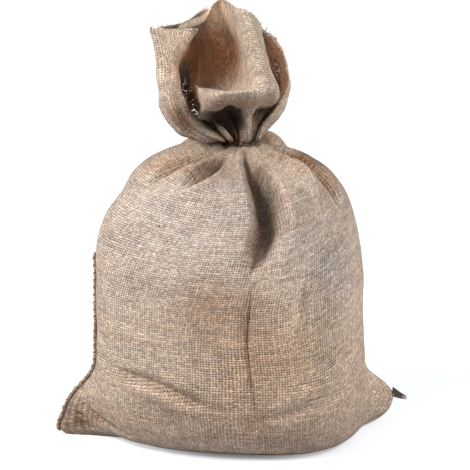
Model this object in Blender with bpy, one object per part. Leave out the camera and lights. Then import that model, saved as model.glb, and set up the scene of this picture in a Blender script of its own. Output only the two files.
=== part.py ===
"""A filled hessian sack, 50 cm x 80 cm flat, tied at the neck and standing on its bottom.

Axes: +X to the sack's right as it is looked at, -Y to the front, +Z up. The origin is on the floor,
under the middle of the sack. The tables are in millimetres, and everything built is in metres.
"""

import math

import bpy
import numpy as np

MM = 0.001
MIDDLE = (0.4, -3.5, 0.0)             # middle of the whole in the tables' millimetres, put at the origin

# Driving sizes, in millimetres.
GAP = 0.3                             # between touching pieces
CLOTH = 2.6                           # hessian with its fuzz, as one wall
TIED_FROM, TIED_TO = 389.0, 397.0     # the neck, held by the twine
TWINE = 3.0                           # thickness of the twine
TWINE_START, TWINE_TURN = 84.0, 348.0 # degrees round the neck: its start, in front, and how far it goes
FREE_END = (                          # the twine's short end, from where it leaves the neck
    # right, forward, up
    (1.0, 2.6, 1.2),
    (1.6, 5.4, 4.4),
    (2.0, 8.6, 6.4),
)
SEAM_OUT, SEAM_THICK = 5.2, 4.4       # how far the overcast seam stands out, and its thickness
SEAM_TOP, SEAM_END = 252.0, 6.0       # heights between which it shows
STITCH = 10.0                         # from one overcast stitch to the next
STITCH_DIP = 0.14                     # share of the seam's thickness that a stitch pulls in
SEAM_CLOSED = 0.45                    # share of the seam's thickness at its two ends
TAIL_LENGTH, TAIL_FALL = 19.0, 9.5    # the thread ends at the right ear, and how far they hang
TAIL_THICK, TAIL_TIP = 5.0, 1.7       # half their thickness at the root and at the tip
TAIL_BACK, TAIL_UP = 1.5, 5.0         # how far they lean back, and how far above the ear's tip they start
TAIL_FLAT, TAIL_LOBES = 0.75, 0.22    # their depth for their height, and how far three strands stand out
TAIL_TWIST = 2.2                      # radians that the strands turn along it

# How finely the cloth is divided.
FRONT_COLUMNS = 52                    # four to each fold line of the collar
BACK_COLUMNS = 28
BODY_ROWS = 29
COLLAR_ROWS = 16
HEM_ROWS = 3
LINING_START = 6                      # collar rows below the mouth's hollow, whose folds are pressed together

# Where the columns crowd: at the seams, whose ears are thin, and at the deep fold in front.
EDGE_CROWDS = (
    # angle in radians, how many more, reach
    (0.0, 2.2, 0.14),
    (math.pi, 2.2, 0.14),
)
FOLD_CROWDS = (
    # angle in radians, how many more, reach
    (1.75, 0.9, 0.28),
)

# How the filled body sits.
YAW = 0.11                            # it is turned a little, its right ear to the back
YAW_REACH = 200.0                     # distance below the neck over which the turn grows
YAW_EASED = 0.6                       # share of the turn that the front, which lies free, doesn't follow
FRONT_SKEW = 0.22                     # its filling has settled to the right of the front
SQUARE = 2.7                          # of the sections at the floor: 2 is an ellipse, more is boxier
SQUARE_REACH = 480.0                  # distance below the neck over which the sections grow boxier
FLAT_REACH = 14.0                     # height above the floor below which folds fade from the flat base

# The filled body, from the neck down to the floor. Height and the two side edges are those of the
# seams, and the front and the back lie lower by the drop.
BODY = (
    # height, left, right, front, back, drop
    (389, -12, 24, -18, 18, 0),
    (394, -26, 37, -29, 30, 0),
    (396, -44, 46, -41, 42, 8),
    (390, -74, 68, -60, 60, 20),
    (372, -114, 107, -81, 78, 23),
    (354, -134, 130, -97, 92, 26),
    (331, -148, 147, -111, 106, 25),
    (303, -169, 159, -123, 118, 23),
    (270, -181, 169, -133, 128, 19),
    (225, -183, 174, -141, 136, 11),
    (170, -183, 174, -146, 141, 4),
    (115, -182, 177, -148, 143, 0),
    (65, -182, 178, -148, 141, 0),
    (32, -173, 175, -141, 137, 0),
    (10, -158, 168, -125, 130, 0),
    (0, -137, 154, -106, 117, 0),
)

# The two empty bottom corners: how far each stands out beyond the filled body.
EARS = (
    # height, left, right
    (0, 89, 31),
    (12, 75, 39),
    (28, 58, 44),
    (44, 45, 43),
    (60, 29, 28),
    (76, 13, 7),
    (95, 2, 0),
    (115, 0, 0),
)
EAR_SPREAD = 0.11         # radians round the body in which an ear thins to its edge

# Fold lines of the collar above the tie, from the left seam round the front to the right seam and
# back behind. Each is (x, y) at the seven heights of LEVELS, then the rim's point, and then how much
# of the rim's cloth is turned over there and through what angle.
LEVELS = (402, 419, 437, 454, 471, 487, 510)
COLLAR = (
    # name, seven times x and y, rim x, y, z, hem, turn in degrees
    ("left edge", -55, 5, -81, 5, -93, 5, -97, 5, -99, 5, -101, 5, -102, 5, -109, 2, 541, 3, 0),
    ("left roll", -32, -22, -61, -35, -75, -41, -82, -44, -85, -45, -85, -43, -86, -38, -95, -18, 546, 3, 0),
    ("left lip", -14, -27, -40, -38, -54, -44, -62, -48, -68, -48, -70, -46, -71, -40, -82, -20, 545, 3, 0),
    ("left turn", -8, -15, -32, 4, -54, 8, -65, 10, -74, 10, -74, 8, -66, -3, -47, -9, 541, 6, 50),
    ("left valley", -1, -24, -15, -17, -42, 18, -57, 38, -62, 43, -64, 44, -54, 38, -70, 6, 545, 12, 150),
    ("flap left", 2, -14, -12, 4, -42, -26, -44, -34, -46, -36, -48, 10, -45, 41, -54, 8, 553, 16, 155),
    ("flap front", 5, -15, -2, 8, -14, 24, -24, -62, -25, -74, -26, 4, -26, 42, -36, 4, 562, 14, 150),
    ("flap middle", 9, -16, 8, 0, 6, 14, 2, -70, 0, -86, 4, -11, 5, 31, -18, -12, 580, 5, 30),
    ("flap right", 16, -27, 15, -32, 15, -31, 20, -68, 23, -88, 22, -68, 18, -46, 2, -28, 574, 3, 0),
    ("flap edge", 20, -14, 26, -5, 34, 4, 46, -34, 52, -60, 46, -58, 39, -52, 22, -32, 567, 3, 0),
    ("flap turn", 24, -12, 30, -3, 41, 8, 57, -16, 58, -24, 49, -18, 42, -12, 34, -16, 553, 3, 0),
    ("right valley", 26, -8, 34, 8, 47, 20, 54, 28, 56, 34, 52, 38, 47, 38, 38, 14, 538, 3, 0),
    ("right lip", 30, -13, 40, -8, 55, 0, 65, 5, 71, 9, 70, 14, 64, 19, 52, 14, 529, 3, 0),
    ("right edge", 36, 0, 53, 7, 67, 14, 74, 20, 76, 26, 73, 29, 66, 31, 56, 24, 527, 3, 0),
    ("back right", 31, 23, 47, 35, 60, 45, 66, 51, 68, 54, 65, 57, 57, 56, 47, 48, 531, 3, 0),
    ("back right fold", 20, 13, 29, 19, 35, 29, 39, 36, 40, 40, 39, 43, 36, 44, 33, 42, 540, 3, 0),
    ("back right ridge", 8, 30, 11, 48, 14, 63, 15, 72, 15, 77, 14, 79, 12, 76, 8, 60, 550, 3, 0),
    ("back left fold", -8, 15, -14, 25, -19, 36, -22, 44, -23, 49, -24, 52, -24, 53, -34, 32, 565, 4, 20),
    ("back left ridge", -24, 27, -37, 40, -45, 54, -49, 62, -51, 66, -52, 68, -53, 64, -60, 32, 551, 4, 20),
    ("back left", -40, 17, -60, 27, -74, 36, -81, 41, -83, 43, -84, 44, -84, 38, -87, 20, 544, 4, 0),
)
LIFTS = (
    # name, how far it lies above the last five levels, because the flap's lip stands over a hollow
    ("flap left", -6, -4, 2, -14, -6),
    ("flap front", 0, -2, 4, -20, -12),
    ("flap middle", 0, 5, 6, -20, -12),
    ("flap right", 0, 3, 5, -4, -2),
)
FRONT_RIBS = 13           # spaces between fold lines in front, and the rest are behind

# Folds of the filled body. Each runs along the cloth through three places, given as the angle round
# the body (0 left seam, 90 front, 180 right seam, 270 back) and the distance down from the neck.
# A depth below zero is a ridge. Edge 2 is soft, 1.3 a sharp crease and 4 a trough with steep sides.
FOLDS = (
    # name, angle, down, angle, down, angle, down, half width, depth, edge
    ("front hollow top", 108, 22, 110, 66, 110, 112, 7, 17, 2.4),
    ("front hollow", 109, 66, 108, 136, 97, 234, 18, 38, 3.7),
    ("front hollow tail", 101, 176, 97, 210, 95, 250, 6, 9, 1.7),
    ("front panel edge", 118, 34, 120, 112, 118, 180, 8, -7, 1.8),
    ("front left edge", 97, 34, 100, 120, 94, 205, 7, -6, 2.0),
    ("front crease", 99, 222, 94, 330, 96, 455, 6, 6, 1.5),
    ("front crease lip", 94, 225, 90, 330, 92, 440, 8, -3, 2.0),
    ("right crease", 120, 240, 118, 302, 116, 366, 5, 3.5, 1.5),
    ("left shoulder", 66, 14, 46, 66, 32, 136, 9, 18, 2.2),
    ("left shoulder ridge", 74, 24, 54, 78, 43, 126, 7, -7, 1.8),
    ("left gusset", 77, 34, 70, 76, 58, 118, 8, 21, 2.6),
    ("left panel top", 84, 48, 76, 88, 64, 124, 7, -6, 1.8),
    ("right shoulder line", 142, 16, 151, 58, 148, 104, 4, 5, 1.8),
    ("right shoulder", 163, 38, 161, 104, 156, 176, 10, 20, 2.4),
    ("right shoulder ridge", 147, 30, 148, 96, 142, 150, 8, -7, 1.8),
    ("back lobe", 216, 16, 210, 40, 199, 72, 14, -15, 2.0),
    ("left lobe", 352, 10, 350, 30, 348, 60, 13, -9, 2.0),
    ("low left", 32, 386, 64, 401, 90, 430, 7, 9, 1.8),
    ("low left swell", 34, 402, 64, 415, 86, 442, 9, -6, 2.0),
    ("low right", 96, 440, 122, 420, 146, 398, 10, 4, 2.0),
    ("left ear fold", 1, 446, 12, 474, 44, 484, 5, 7, 1.7),
    ("left dent", 2, 360, 16, 376, 34, 396, 8, 5, 2.0),
    ("right ear fold", 176, 420, 174, 450, 168, 480, 7, 4, 2.0),
    ("back right", 224, 36, 228, 85, 232, 165, 11, 11, 2.0),
    ("back middle", 258, 10, 256, 95, 252, 215, 11, 16, 2.0),
    ("back left", 296, 10, 306, 70, 314, 155, 11, 12, 2.0),
    ("back side", 336, 12, 338, 70, 340, 130, 9, 8, 2.0),
    ("back crease", 252, 210, 262, 320, 256, 440, 8, 5, 1.7),
    ("back low", 284, 430, 310, 400, 340, 380, 10, 6, 2.0),
)
SWELL = 0.16              # cloth beside a fold rises by this share of its depth
SWELL_AT = 2.1            # how far out, in half widths of the fold
FOLD_TIP = 0.35           # a fold's width at its ends, as a share of its width halfway
FOLD_FADE = 0.7           # below 1 a fold keeps its depth nearer to its ends

# Small pleats where the cloth runs into the tie: how many round the neck, and how deep.
PLEATS = (
    # count, shift in degrees, depth
    (9, 20, 2.4),
    (14, 75, 1.7),
    (23, 140, 0.9),
)
PLEAT_REACH = 62.0        # distance down from the neck at which they have died away
PLEAT_START = 5.0         # distance down at which they begin
PLEAT_GROWTH = 16.0       # and over which they reach their full depth
PLEAT_DRIFT = 0.35        # radians by which they crowd towards the front and the back


def catmull(knots, values, where):
    """Smooth curve through values at the rising knots, read at where."""
    knots = np.asarray(knots, float)
    values = np.asarray(values, float).reshape(len(knots), -1)
    slopes = np.gradient(values, knots, axis=0)
    where = np.clip(where, knots[0], knots[-1])
    left = np.clip(np.searchsorted(knots, where, "right") - 1, 0, len(knots) - 2)
    span = (knots[left + 1] - knots[left])[:, None]
    t = ((where - knots[left])[:, None]) / span
    return (
        values[left] * (1 + 2 * t) * (1 - t) ** 2
        + values[left + 1] * t**2 * (3 - 2 * t)
        + span * (slopes[left] * t * (1 - t) ** 2 + slopes[left + 1] * t**2 * (t - 1))
    )


def periodic(values, where):
    """Smooth closed curve through values at 0, 1, 2 and so on, read at where."""
    count = len(values)
    knots = np.arange(-3, count + 4)
    return catmull(knots, values[knots % count], where)


def smooth(t):
    """0 below 0, 1 above 1, and an even slope between."""
    t = np.clip(t, 0, 1)
    return t * t * (3 - 2 * t)


def column_angles():
    """Angles of the columns round the body: 0 left, 90 degrees front, 180 right, 270 back."""

    def half(count, crowded):
        fine = np.linspace(0, math.pi, 2001)
        density = np.ones(len(fine))
        for angle, more, reach in (*EDGE_CROWDS, *crowded):
            density += more * np.exp(-(((fine - angle) / reach) ** 2))
        total = np.concatenate([[0], np.cumsum((density[1:] + density[:-1]) / 2)])
        return np.interp(np.arange(count) / count * total[-1], total, fine)

    return np.concatenate([half(FRONT_COLUMNS, FOLD_CROWDS), math.pi + half(BACK_COLUMNS, ())])


def column_ribs():
    """Where each column lies among the collar's fold lines."""
    front = np.arange(FRONT_COLUMNS) / FRONT_COLUMNS * FRONT_RIBS
    behind = len(COLLAR) - FRONT_RIBS
    return np.concatenate([front, FRONT_RIBS + np.arange(BACK_COLUMNS) / BACK_COLUMNS * behind])


def body_lengths():
    """Distance down the left seam from the neck to each row of BODY."""
    table = np.array(BODY, float)
    steps = np.hypot(np.diff(table[:, 0]), np.diff(table[:, 1]))
    return np.concatenate([[0], np.cumsum(steps)])


def plain_body(angles, down):
    """The filled body without its folds, a row of points for each distance down from the neck."""
    lengths = body_lengths()
    table = catmull(lengths, BODY, down)
    table[:, 0] = np.maximum(table[:, 0], 0)
    height, left, right, front, back, drop = (column[:, None] for column in table.T)
    cosine, sine = -np.cos(angles)[None, :], np.sin(angles)[None, :]
    power = 2 / (2 + (SQUARE - 2) * smooth(down / SQUARE_REACH))[:, None]
    across = np.sign(cosine) * np.abs(cosine) ** power
    deep = np.abs(sine) ** power
    x = (left + right) / 2 + (right - left) / 2 * across
    y = np.where(sine > 0, front * (1 + FRONT_SKEW * across), back) * deep
    z = height - drop * sine**2
    ears = np.maximum(catmull(*ear_columns(), height[:, 0]), 0)
    for side, angle, out in ((0, 0.0, -1), (1, math.pi, 1)):
        away = np.abs((angles - angle + math.pi) % (2 * math.pi) - math.pi)
        x = x + out * ears[:, side][:, None] * np.exp(-away / EAR_SPREAD)[None, :]
    turn = YAW * (1 - YAW_EASED * np.where(sine > 0, sine, 0) ** 2)
    y = y + turn * x * smooth(down / YAW_REACH)[:, None]
    return np.stack([x, y, z], axis=-1)


def fold_points(fold, samples=48):
    """Places along one fold on the plain body, and how far each is from the fold's ends, 0 to 1."""
    angles, downs = np.radians(fold[1:7:2]), np.array(fold[2:8:2], float)
    t = np.linspace(0, 1, samples)
    path = catmull((0, 0.5, 1), np.column_stack([angles, downs]), t)
    points = np.array([plain_body(path[k : k + 1, 0], path[k : k + 1, 1])[0, 0] for k in range(samples)])
    return points, np.sin(math.pi * t) ** FOLD_FADE


def fold_depths(grid, angles, down):
    """How far each point of the body goes in along its normal."""
    depths = np.zeros(grid.shape[:2])
    for fold in FOLDS:
        half, depth, edge = fold[7:10]
        points, share = fold_points(fold)
        away = np.linalg.norm(grid[:, :, None, :] - points, axis=3)
        nearest = away.argmin(axis=2)
        away = away.min(axis=2)
        share = share[nearest]
        wide = half * (FOLD_TIP + (1 - FOLD_TIP) * share)
        depths += depth * share * np.exp(-((away / wide) ** edge))
        depths -= depth * SWELL * share * np.exp(-((away / wide - SWELL_AT) ** 2))
    near = 1 - smooth(down / PLEAT_REACH)
    opened = smooth((down - PLEAT_START) / PLEAT_GROWTH)
    for count, shift, depth in PLEATS:
        wave = np.cos(count * (angles + PLEAT_DRIFT * np.sin(2 * angles)) + math.radians(shift))
        depths += depth * (near * opened)[:, None] * wave[None, :]
    return depths


def body_surface(angles, down):
    """The filled body with its folds. The rows rise from the floor, which keeps its flat contact."""
    plain = plain_body(angles, down)
    held = smooth(plain[:, :, 2] / FLAT_REACH)
    depths = fold_depths(plain, angles, down) * held
    return plain - normals(plain) * depths[:, :, None]


def ear_columns():
    """Heights of the ears' table, and the two ears' reach at each."""
    table = np.array(EARS, float)
    return table[:, 0], table[:, 1:]


def rib_lifts():
    """How far each fold line of the collar lies above each level."""
    lifts = np.zeros((len(COLLAR), len(LEVELS)))
    names = [row[0] for row in COLLAR]
    for name, *heights in LIFTS:
        lifts[names.index(name), -len(heights) :] = heights
    return lifts


def collar_surface(ribs, rows):
    """The outside of the collar from the neck's ring up to its rim and over its turned hem."""
    table = np.array([row[1:] for row in COLLAR], float)
    levels = len(LEVELS)
    lifts = rib_lifts()
    angles = neck_angles(np.arange(len(COLLAR)))
    middle, wide, deep = neck_size()
    circle = [middle - wide * np.cos(angles), -deep * np.sin(angles)]
    rings = [np.stack(circle + [0 * angles + height], 1) for height in (TIED_FROM, TIED_TO)]
    for level, height in enumerate(LEVELS):
        rings.append(np.column_stack([table[:, 2 * level : 2 * level + 2], height + lifts[:, level]]))
    rings.append(table[:, 2 * levels : 2 * levels + 3])
    rings = np.array([periodic(ring, ribs) for ring in rings])
    hem = periodic(table[:, -2:], ribs)
    steps = np.linalg.norm(np.diff(rings, axis=0), axis=2).mean(1)
    knots = np.concatenate([[0], np.cumsum(steps)])
    where = np.concatenate([[0], np.linspace(knots[1], knots[-1], rows)])
    flat = catmull(knots, rings.reshape(len(rings), -1), where)
    grid = flat.reshape(len(where), len(ribs), 3)
    return np.concatenate([grid, turned_hem(grid, hem)])


def turned_hem(grid, hem):
    """The last of the cloth at the rim, which bends forward where it is turned over."""
    rows, point = [], grid[-1]
    up = grid[-1] - grid[-2]
    start = np.arctan2(-up[:, 1], up[:, 2])
    for step in range(1, HEM_ROWS + 1):
        angle = start + np.radians(hem[:, 1]) * step / HEM_ROWS
        length = hem[:, 0] / HEM_ROWS
        move = np.stack([0 * angle, -np.sin(angle) * length, np.cos(angle) * length], 1)
        point = point + move
        rows.append(point)
    return np.array(rows)


def neck_size():
    """Middle, half width and half depth of the tied neck."""
    left, right, front = BODY[0][1:4]
    return (left + right) / 2, (right - left) / 2, -front


def neck_angles(ribs):
    """Angle round the tied neck of each fold line of the collar."""
    behind = len(COLLAR) - FRONT_RIBS
    return np.where(ribs <= FRONT_RIBS, ribs / FRONT_RIBS, 1 + (ribs - FRONT_RIBS) / behind) * math.pi


def normals(grid):
    """Outward unit normals of rows of points that close round the sack, rows rising."""
    around = np.roll(grid, -1, 1) - np.roll(grid, 1, 1)
    up = np.gradient(grid, axis=0)
    cross = np.cross(around, up)
    return cross / np.maximum(np.linalg.norm(cross, axis=2, keepdims=True), 1e-9)


def sack_points():
    """All rows of the sack: floor, body, neck, collar, rim and the inside of the mouth."""
    angles = column_angles()
    ribs = column_ribs()
    total = body_lengths()[-1]
    down = np.linspace(total, 0, BODY_ROWS + 1)
    body = body_surface(angles, down)
    collar = collar_surface(ribs, COLLAR_ROWS)
    body[-1] = collar[0]
    outside = np.concatenate([body, collar[1:]])
    hollow = len(body) + LINING_START
    inside = outside[hollow:] - normals(outside)[hollow:] * CLOTH
    rim = len(inside) - HEM_ROWS
    kept = sorted(set(range(0, rim, 2)) | set(range(rim - 1, len(inside))))
    return outside, inside[kept[::-1]]


def metres(point):
    """A place in the tables' millimetres, as metres from the origin."""
    return tuple((value - middle) * MM for value, middle in zip(point, MIDDLE))


def lofted(name, rows):
    """One closed mesh from rings of points, the first and the last closed by a flat face."""
    rings, columns = len(rows), len(rows[0])
    points = [metres(point) for row in rows for point in row]
    faces = []
    for ring in range(rings - 1):
        for column in range(columns):
            right = (column + 1) % columns
            low, high = ring * columns, (ring + 1) * columns
            faces.append((low + column, low + right, high + right, high + column))
    faces.append(tuple(reversed(range(columns))))
    faces.append(tuple((rings - 1) * columns + column for column in range(columns)))
    mesh = bpy.data.meshes.new(name)
    mesh.from_pydata(points, [], faces)
    return mesh


def jute(name, colour):
    """A rough, matt plant fibre of one colour."""
    material = bpy.data.materials.new(name)
    material.use_nodes = True
    shader = material.node_tree.nodes["Principled BSDF"]
    shader.inputs["Base Color"].default_value = (*colour, 1)
    shader.inputs["Roughness"].default_value = 0.95
    shader.inputs["Metallic"].default_value = 0.0
    return material


def place(mesh, name, material, collection):
    piece = bpy.data.objects.new(name, mesh)
    piece.data.materials.append(material)
    piece.data.shade_smooth()
    collection.objects.link(piece)
    return piece


def make_sack(outside, inside, collection, material):
    mesh = lofted("sack", list(outside) + list(inside))
    return place(mesh, "sack", material, collection)


def edge_line(outside):
    """Points down the left edge of the cloth every quarter stitch, with the directions outwards
    and across the edge."""
    edge = outside[: BODY_ROWS + 1, 0][::-1]
    out = normals(outside)[: BODY_ROWS + 1, 0][::-1]
    along = np.concatenate([[0], np.cumsum(np.linalg.norm(np.diff(edge, axis=0), axis=1))])
    start, end = (np.interp(-height, -edge[:, 2], along) for height in (SEAM_TOP, SEAM_END))
    where = np.linspace(start, end, round((end - start) / STITCH * 4) + 1)
    points = np.stack([np.interp(where, along, edge[:, axis]) for axis in range(3)], 1)
    outward = np.stack([np.interp(where, along, out[:, axis]) for axis in range(3)], 1)
    tangent = np.gradient(points, axis=0)
    across = np.cross(tangent, outward)
    across /= np.linalg.norm(across, axis=1, keepdims=True)
    outward = np.cross(across, tangent)
    return points, outward / np.linalg.norm(outward, axis=1, keepdims=True), across


def make_side_seam(outside, collection, material, sides=6):
    """The two selvedges, overcast together: a ridge down the left edge and along the ear."""
    points, outward, across = edge_line(outside)
    rings = []
    for k, (point, out, side) in enumerate(zip(points, outward, across)):
        stitch = 1 - STITCH_DIP * (k % 4 == 0)
        ends = SEAM_CLOSED if k in (0, len(points) - 1) else 1.0
        turn = np.arange(sides) / sides * 2 * math.pi
        reach = SEAM_OUT / 2 * (1 + np.cos(turn) * ends * stitch) + GAP
        ring = point + out * reach[:, None] + side * (SEAM_THICK / 2 * ends * stitch * np.sin(turn))[:, None]
        rings.append(ring)
    return place(lofted("side_seam", rings), "side_seam", material, collection)


def make_neck_tie(collection, material):
    """One turn of twine round the neck, with a short free end that lies down the front."""
    middle, wide, deep = neck_size()
    height = (TIED_FROM + TIED_TO) / 2
    away = GAP + TWINE / 2
    turn = np.radians(np.linspace(TWINE_START, TWINE_START - TWINE_TURN, 48))
    loop = [(middle - (wide + away) * math.cos(a), -(deep + away) * math.sin(a), height) for a in turn]
    x, y, z = loop[-1]
    end = [(x + out_x, y - out_y, z + up) for out_x, out_y, up in FREE_END]
    return twine("neck_tie", loop + end, TWINE / 2, collection, material)


def twine(name, points, radius, collection, material):
    """A round cord through the points, with closed ends."""
    curve = bpy.data.curves.new(name, "CURVE")
    curve.dimensions = "3D"
    curve.bevel_depth = radius * MM
    curve.bevel_resolution = 1
    curve.use_fill_caps = True
    spline = curve.splines.new("POLY")
    spline.points.add(len(points) - 1)
    for spot, point in zip(spline.points, points):
        spot.co = (*metres(point), 1)
    curve.materials.append(material)
    piece = bpy.data.objects.new(name, curve)
    collection.objects.link(piece)
    return piece


def make_seam_tail(outside, collection, material, sides=9):
    """The seam's thread ends at the right ear: a frayed tail of three twisted strands."""
    edge = outside[: BODY_ROWS + 1, FRONT_COLUMNS]
    tip = edge[np.argmax(edge[:, 0])]
    turn = np.arange(sides) / sides * 2 * math.pi
    rings = []
    for t in np.linspace(0, 1, 8):
        centre = tip + np.array([GAP + TAIL_LENGTH * t, TAIL_BACK * t, TAIL_UP - TAIL_FALL * t * t])
        lobes = 1 + TAIL_LOBES * np.cos(3 * (turn + TAIL_TWIST * t))
        size = (TAIL_THICK + (TAIL_TIP - TAIL_THICK) * t) * lobes
        rings.append(centre + np.stack([0 * turn, size * TAIL_FLAT * np.cos(turn), size * np.sin(turn)], 1))
    return place(lofted("seam_tail", rings), "seam_tail", material, collection)


def main():
    for old in list(bpy.data.objects):
        bpy.data.objects.remove(old, do_unlink=True)
    collection = bpy.data.collections.new("Hessian sack")
    bpy.context.scene.collection.children.link(collection)
    outside, inside = sack_points()
    make_sack(outside, inside, collection, jute("Hessian", (0.47, 0.35, 0.25)))
    make_side_seam(outside, collection, jute("Overcast seam", (0.36, 0.26, 0.17)))
    make_neck_tie(collection, jute("Jute twine", (0.30, 0.21, 0.13)))
    make_seam_tail(outside, collection, jute("Thread ends", (0.33, 0.25, 0.17)))


main()
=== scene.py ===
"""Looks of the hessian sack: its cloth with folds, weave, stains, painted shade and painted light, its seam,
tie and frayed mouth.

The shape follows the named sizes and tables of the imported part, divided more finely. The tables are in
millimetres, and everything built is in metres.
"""

import math
import random

import bpy
import numpy as np
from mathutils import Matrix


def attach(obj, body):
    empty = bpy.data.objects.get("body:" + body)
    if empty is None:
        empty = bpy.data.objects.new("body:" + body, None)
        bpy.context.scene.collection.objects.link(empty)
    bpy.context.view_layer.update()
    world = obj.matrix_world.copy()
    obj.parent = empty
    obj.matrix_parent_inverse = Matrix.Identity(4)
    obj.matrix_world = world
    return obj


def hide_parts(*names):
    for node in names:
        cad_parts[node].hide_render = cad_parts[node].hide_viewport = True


MM = 0.001
MIDDLE = (0.4, -3.5, 0.0)  # middle of the whole in the tables' millimetres, put at the origin

# Driving sizes, in millimetres.
GAP = 0.3
WALL = 1.8  # the cloth's wall where both of its sides show
TIED_FROM, TIED_TO = 389.0, 397.0
TWINE = 3.0
TWINE_START, TWINE_TURN = 84.0, 348.0
FREE_END = (
    # right, forward, up
    (1.0, 2.6, 1.2),
    (1.6, 5.4, 4.4),
    (2.0, 8.6, 6.4),
)
SEAM_OUT, SEAM_THICK = 5.2, 4.4
SEAM_TOP, SEAM_END = 252.0, 6.0
STITCH = 10.0  # from one stitch of the seam to the next

# How finely the cloth is divided.
FRONT_COLUMNS = 260
BACK_COLUMNS = 140
BODY_ROWS = 190
COLLAR_ROWS = 92
HEM_ROWS = 8
LINING_ROWS = 30  # rows of the collar below which the mouth's inside is not seen
CROWD_SAMPLES = 2001  # angles at which the columns' crowding is summed up

# Where the columns crowd: angle in radians, how many more, reach.
EDGE_CROWDS = ((0.0, 2.2, 0.14), (math.pi, 2.2, 0.14))
FOLD_CROWDS = ((1.75, 0.9, 0.28),)

# How the filled body sits.
YAW = 0.11
YAW_REACH = 200.0
YAW_EASED = 0.6
FRONT_SKEW = 0.22
SQUARE = 2.7
SQUARE_REACH = 480.0
FLAT_REACH = 14.0

BODY = (
    # height, left, right, front, back, drop
    (389, -12, 24, -18, 18, 0),
    (394, -26, 37, -29, 30, 0),
    (396, -44, 46, -41, 42, 8),
    (390, -74, 68, -60, 60, 20),
    (372, -114, 107, -81, 78, 23),
    (354, -134, 130, -97, 92, 26),
    (331, -148, 147, -111, 106, 25),
    (303, -169, 159, -123, 118, 23),
    (270, -181, 169, -133, 128, 19),
    (225, -183, 174, -141, 136, 11),
    (170, -183, 174, -146, 141, 4),
    (115, -182, 177, -148, 143, 0),
    (65, -182, 178, -148, 141, 0),
    (32, -173, 175, -141, 137, 0),
    (10, -158, 168, -125, 130, 0),
    (0, -137, 154, -106, 117, 0),
)

EARS = (
    # height, left, right
    (0, 89, 31),
    (12, 75, 39),
    (28, 58, 44),
    (44, 45, 43),
    (60, 29, 28),
    (76, 13, 7),
    (95, 2, 0),
    (115, 0, 0),
)
EAR_SPREAD = 0.11

LEVELS = (402, 419, 437, 454, 471, 487, 510)
COLLAR = (
    # name, seven times x and y, rim x, y, z, hem, turn in degrees
    ("left edge", -55, 5, -81, 5, -93, 5, -97, 5, -99, 5, -101, 5, -102, 5, -109, 2, 541, 3, 0),
    ("left roll", -32, -22, -61, -35, -75, -41, -82, -44, -85, -45, -85, -43, -86, -38, -95, -18, 546, 3, 0),
    ("left lip", -14, -27, -40, -38, -54, -44, -62, -48, -68, -48, -70, -46, -71, -40, -82, -20, 545, 3, 0),
    ("left turn", -8, -15, -32, 4, -54, 8, -65, 10, -74, 10, -74, 8, -66, -3, -47, -9, 541, 6, 50),
    ("left valley", -1, -24, -15, -17, -42, 18, -57, 38, -62, 43, -64, 44, -54, 38, -70, 6, 545, 12, 150),
    ("flap left", 2, -14, -12, 4, -42, -26, -44, -34, -46, -36, -48, 10, -45, 41, -54, 8, 553, 16, 155),
    ("flap front", 5, -15, -2, 8, -14, 24, -24, -62, -25, -74, -26, 4, -26, 42, -36, 4, 562, 14, 150),
    ("flap middle", 9, -16, 8, 0, 6, 14, 2, -70, 0, -86, 4, -11, 5, 31, -18, -12, 580, 5, 30),
    ("flap right", 16, -27, 15, -32, 15, -31, 20, -68, 23, -88, 22, -68, 18, -46, 2, -28, 574, 3, 0),
    ("flap edge", 20, -14, 26, -5, 34, 4, 46, -34, 52, -60, 46, -58, 39, -52, 22, -32, 567, 3, 0),
    ("flap turn", 24, -12, 30, -3, 41, 8, 57, -16, 58, -24, 49, -18, 42, -12, 34, -16, 553, 3, 0),
    ("right valley", 26, -8, 34, 8, 47, 20, 54, 28, 56, 34, 52, 38, 47, 38, 38, 14, 538, 3, 0),
    ("right lip", 30, -13, 40, -8, 55, 0, 65, 5, 71, 9, 70, 14, 64, 19, 52, 14, 529, 3, 0),
    ("right edge", 36, 0, 53, 7, 67, 14, 74, 20, 76, 26, 73, 29, 66, 31, 56, 24, 527, 3, 0),
    ("back right", 31, 23, 47, 35, 60, 45, 66, 51, 68, 54, 65, 57, 57, 56, 47, 48, 531, 3, 0),
    ("back right fold", 20, 13, 29, 19, 35, 29, 39, 36, 40, 40, 39, 43, 36, 44, 33, 42, 540, 3, 0),
    ("back right ridge", 8, 30, 11, 48, 14, 63, 15, 72, 15, 77, 14, 79, 12, 76, 8, 60, 550, 3, 0),
    ("back left fold", -8, 15, -14, 25, -19, 36, -22, 44, -23, 49, -24, 52, -24, 53, -34, 32, 565, 4, 20),
    ("back left ridge", -24, 27, -37, 40, -45, 54, -49, 62, -51, 66, -52, 68, -53, 64, -60, 32, 551, 4, 20),
    ("back left", -40, 17, -60, 27, -74, 36, -81, 41, -83, 43, -84, 44, -84, 38, -87, 20, 544, 4, 0),
)
LIFTS = (
    # name, how far it lies above the last five levels
    ("flap left", -6, -4, 2, -14, -6),
    ("flap front", 0, -2, 4, -20, -12),
    ("flap middle", 0, 5, 6, -20, -12),
    ("flap right", 0, 3, 5, -4, -2),
)
FRONT_RIBS = 13
BACK_RIBS = len(COLLAR) - FRONT_RIBS

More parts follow.
